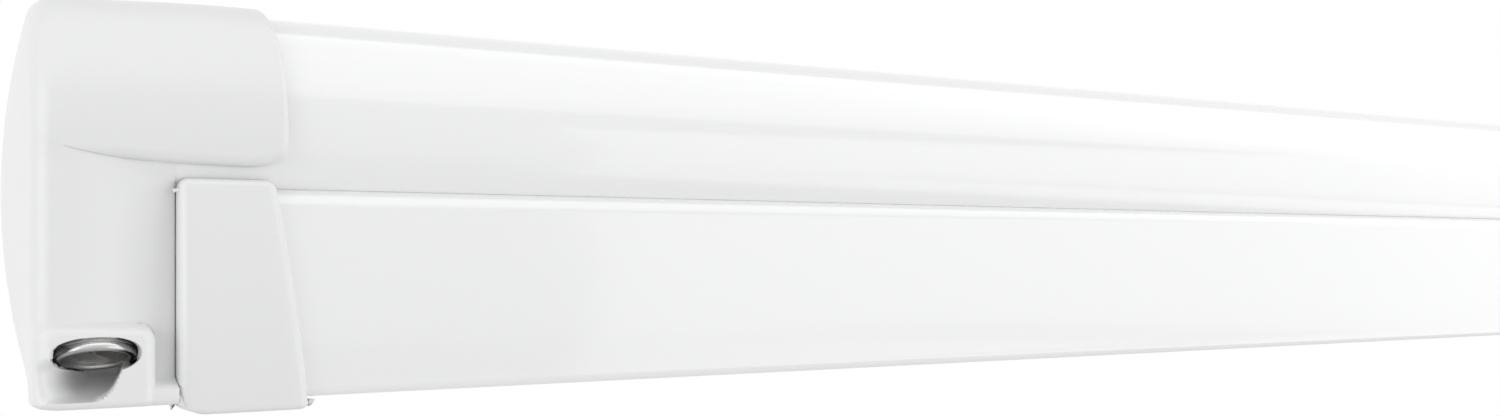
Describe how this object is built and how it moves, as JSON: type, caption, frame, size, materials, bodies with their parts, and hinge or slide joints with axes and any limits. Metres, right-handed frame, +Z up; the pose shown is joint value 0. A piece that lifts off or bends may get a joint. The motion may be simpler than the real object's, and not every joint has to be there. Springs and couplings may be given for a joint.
{
  "type": "roll-out awning",
  "caption": "White wall-mounted cassette awning with a crank-driven fabric roller, folding arms, a lead rail and fold-down telescopic legs.",
  "frame": {"origin": "on the flat back of the case, midway along it and midway up the closed cassette", "axes": "+X along the cassette to its plain end, +Y into the wall, +Z up; the lead rail moves out along -Y"},
  "size_m": [2.32, 0.0966, 0.1356],
  "materials": {
    "white_paint": "gloss white powder coat",
    "arm_paint": "satin anodised",
    "white_plastic": "gloss",
    "dark_plastic": "satin",
    "cast_aluminium": "cast",
    "steel": "zinc plated",
    "cast_metal": "cast, worn rim",
    "brass": "machined",
    "awning_cloth": "coated weave",
    "bead_plastic": "satin"
  },
  "bodies": {
    "cassette": {"housing": "white_paint", "left_end_plate": "cast_aluminium", "right_end_plate": "cast_aluminium", "left_end_cap": "white_plastic", "right_end_cap": "white_plastic", "gear_case": "dark_plastic", "crank_bearing": "dark_plastic", "left_arm_bracket": "cast_aluminium", "right_arm_bracket": "cast_aluminium", "shoulder_pins": "steel", "roller_bushes": "dark_plastic", "end_screws": "steel", "bracket_bolts": "steel"},
    "roller": {"roller_tube": "cast_aluminium", "left_roller_plug": "dark_plastic", "right_roller_plug": "dark_plastic", "worm_wheel": "brass", "fabric_roll": "awning_cloth"},
    "fabric": {"awning_fabric": "awning_cloth"},
    "crank": {"worm_shaft": "steel", "crank_bell": "cast_metal"},
    "lead_rail": {"lead_rail": "white_paint", "left_rail_cap": "white_plastic", "right_rail_cap": "white_plastic", "wrist_brackets": "cast_aluminium", "wrist_pins": "steel", "wrist_screws": "steel", "fabric_bead": "bead_plastic", "leg_brackets": "cast_aluminium", "leg_pins": "steel"},
    "left_upper_arm": {"left_upper_tube": "arm_paint", "left_shoulder_casting": "cast_aluminium", "left_upper_elbow": "cast_aluminium", "left_arm_spring": "steel", "left_elbow_pin": "steel"},
    "left_forearm": {"left_forearm_tube": "arm_paint", "left_fore_elbow": "cast_aluminium", "left_wrist_casting": "cast_aluminium"},
    "left_leg": {"left_leg_tube": "arm_paint", "left_leg_head": "dark_plastic", "left_leg_collar": "dark_plastic"},
    "left_leg_slide": {"left_leg_inner": "cast_aluminium"},
    "left_foot_pad": {"left_foot": "dark_plastic"},
    "left_lever": {"left_clamp_lever": "dark_plastic"},
    "right_upper_arm": {"right_upper_tube": "arm_paint", "right_shoulder_casting": "cast_aluminium", "right_upper_elbow": "cast_aluminium", "right_arm_spring": "steel", "right_elbow_pin": "steel"},
    "right_forearm": {"right_forearm_tube": "arm_paint", "right_fore_elbow": "cast_aluminium", "right_wrist_casting": "cast_aluminium"},
    "right_leg": {"right_leg_tube": "arm_paint", "right_leg_head": "dark_plastic", "right_leg_collar": "dark_plastic"},
    "right_leg_slide": {"right_leg_inner": "cast_aluminium"},
    "right_foot_pad": {"right_foot": "dark_plastic"},
    "right_lever": {"right_clamp_lever": "dark_plastic"}
  },
  "joints": [
    {"name": "left_shoulder", "type": "hinge", "parent": "cassette", "child": "left_upper_arm", "pos_m": [-1.06, -0.0175, -0.032], "axis": [0, 0, -1], "range_deg": [0, 75]},
    {"name": "left_elbow", "type": "hinge", "parent": "left_upper_arm", "child": "left_forearm", "pos_m": [-0.13006, -0.028, -0.032], "axis": [0, 0, 1], "range_deg": [0, 150]},
    {"name": "left_wrist", "type": "hinge", "parent": "left_forearm", "child": "lead_rail", "pos_m": [-1.06, -0.0385, -0.032], "axis": [0, 0, -1], "range_deg": [0, 75]},
    {"name": "right_shoulder", "type": "hinge", "parent": "cassette", "child": "right_upper_arm", "pos_m": [1.06, -0.0175, -0.032], "axis": [0, 0, 1], "range_deg": [0, 75]},
    {"name": "right_elbow", "type": "hinge", "parent": "right_upper_arm", "child": "right_forearm", "pos_m": [0.13006, -0.028, -0.032], "axis": [0, 0, -1], "range_deg": [0, 150]},
    {"name": "roller_turn", "type": "hinge", "parent": "cassette", "child": "roller", "pos_m": [0, -0.0375, 0.026], "axis": [-1, 0, 0], "range_deg": [0, 4057.82]},
    {"name": "fabric_draw", "type": "slide", "parent": "cassette", "child": "fabric", "axis": [0, -1, 0], "range_m": [0, 1.78095], "deforming": ["awning_fabric"]},
    {"name": "crank_turn", "type": "hinge", "parent": "cassette", "child": "crank", "pos_m": [-1.14, -0.08345, -0.05], "axis": [0, -0.3256, -0.9455], "range_deg": [0, 28404.74]},
    {"name": "left_leg_swing", "type": "hinge", "parent": "lead_rail", "child": "left_leg", "pos_m": [-1.06, -0.08175, -0.048], "axis": [0, 1, 0], "range_deg": [0, 90]},
    {"name": "left_leg_extend", "type": "slide", "parent": "left_leg", "child": "left_leg_slide", "axis": [1, 0, 0], "range_m": [0, 0.85]},
    {"name": "left_foot_tilt", "type": "hinge", "parent": "left_leg_slide", "child": "left_foot_pad", "pos_m": [0.014, -0.08175, -0.048], "axis": [0, 1, 0], "range_deg": [-12, 12]},
    {"name": "left_clamp", "type": "hinge", "parent": "left_leg", "child": "left_lever", "pos_m": [0, -0.08175, -0.063], "axis": [0, -1, 0], "range_deg": [0, 100]},
    {"name": "right_leg_swing", "type": "hinge", "parent": "lead_rail", "child": "right_leg", "pos_m": [1.06, -0.06175, -0.048], "axis": [0, -1, 0], "range_deg": [0, 90]},
    {"name": "right_leg_extend", "type": "slide", "parent": "right_leg", "child": "right_leg_slide", "axis": [-1, 0, 0], "range_m": [0, 0.85]},
    {"name": "right_foot_tilt", "type": "hinge", "parent": "right_leg_slide", "child": "right_foot_pad", "pos_m": [-0.014, -0.06175, -0.048], "axis": [0, -1, 0], "range_deg": [-12, 12]},
    {"name": "right_clamp", "type": "hinge", "parent": "right_leg", "child": "right_lever", "pos_m": [0, -0.06175, -0.063], "axis": [0, 1, 0], "range_deg": [0, 100]}
  ],
  "couplings": [
    {"joint": "left_elbow", "follows": "left_shoulder", "ratio": 2},
    {"joint": "left_wrist", "follows": "left_shoulder", "ratio": 1},
    {"joint": "right_shoulder", "follows": "left_shoulder", "ratio": 1},
    {"joint": "right_elbow", "follows": "left_shoulder", "ratio": 2},
    {"joint": "roller_turn", "follows": "left_shoulder", "ratio": 54.104},
    {"joint": "fabric_draw", "follows": "left_shoulder", "m_per_rad": 1.3605},
    {"joint": "crank_turn", "follows": "left_shoulder", "ratio": 378.73}
  ]
}
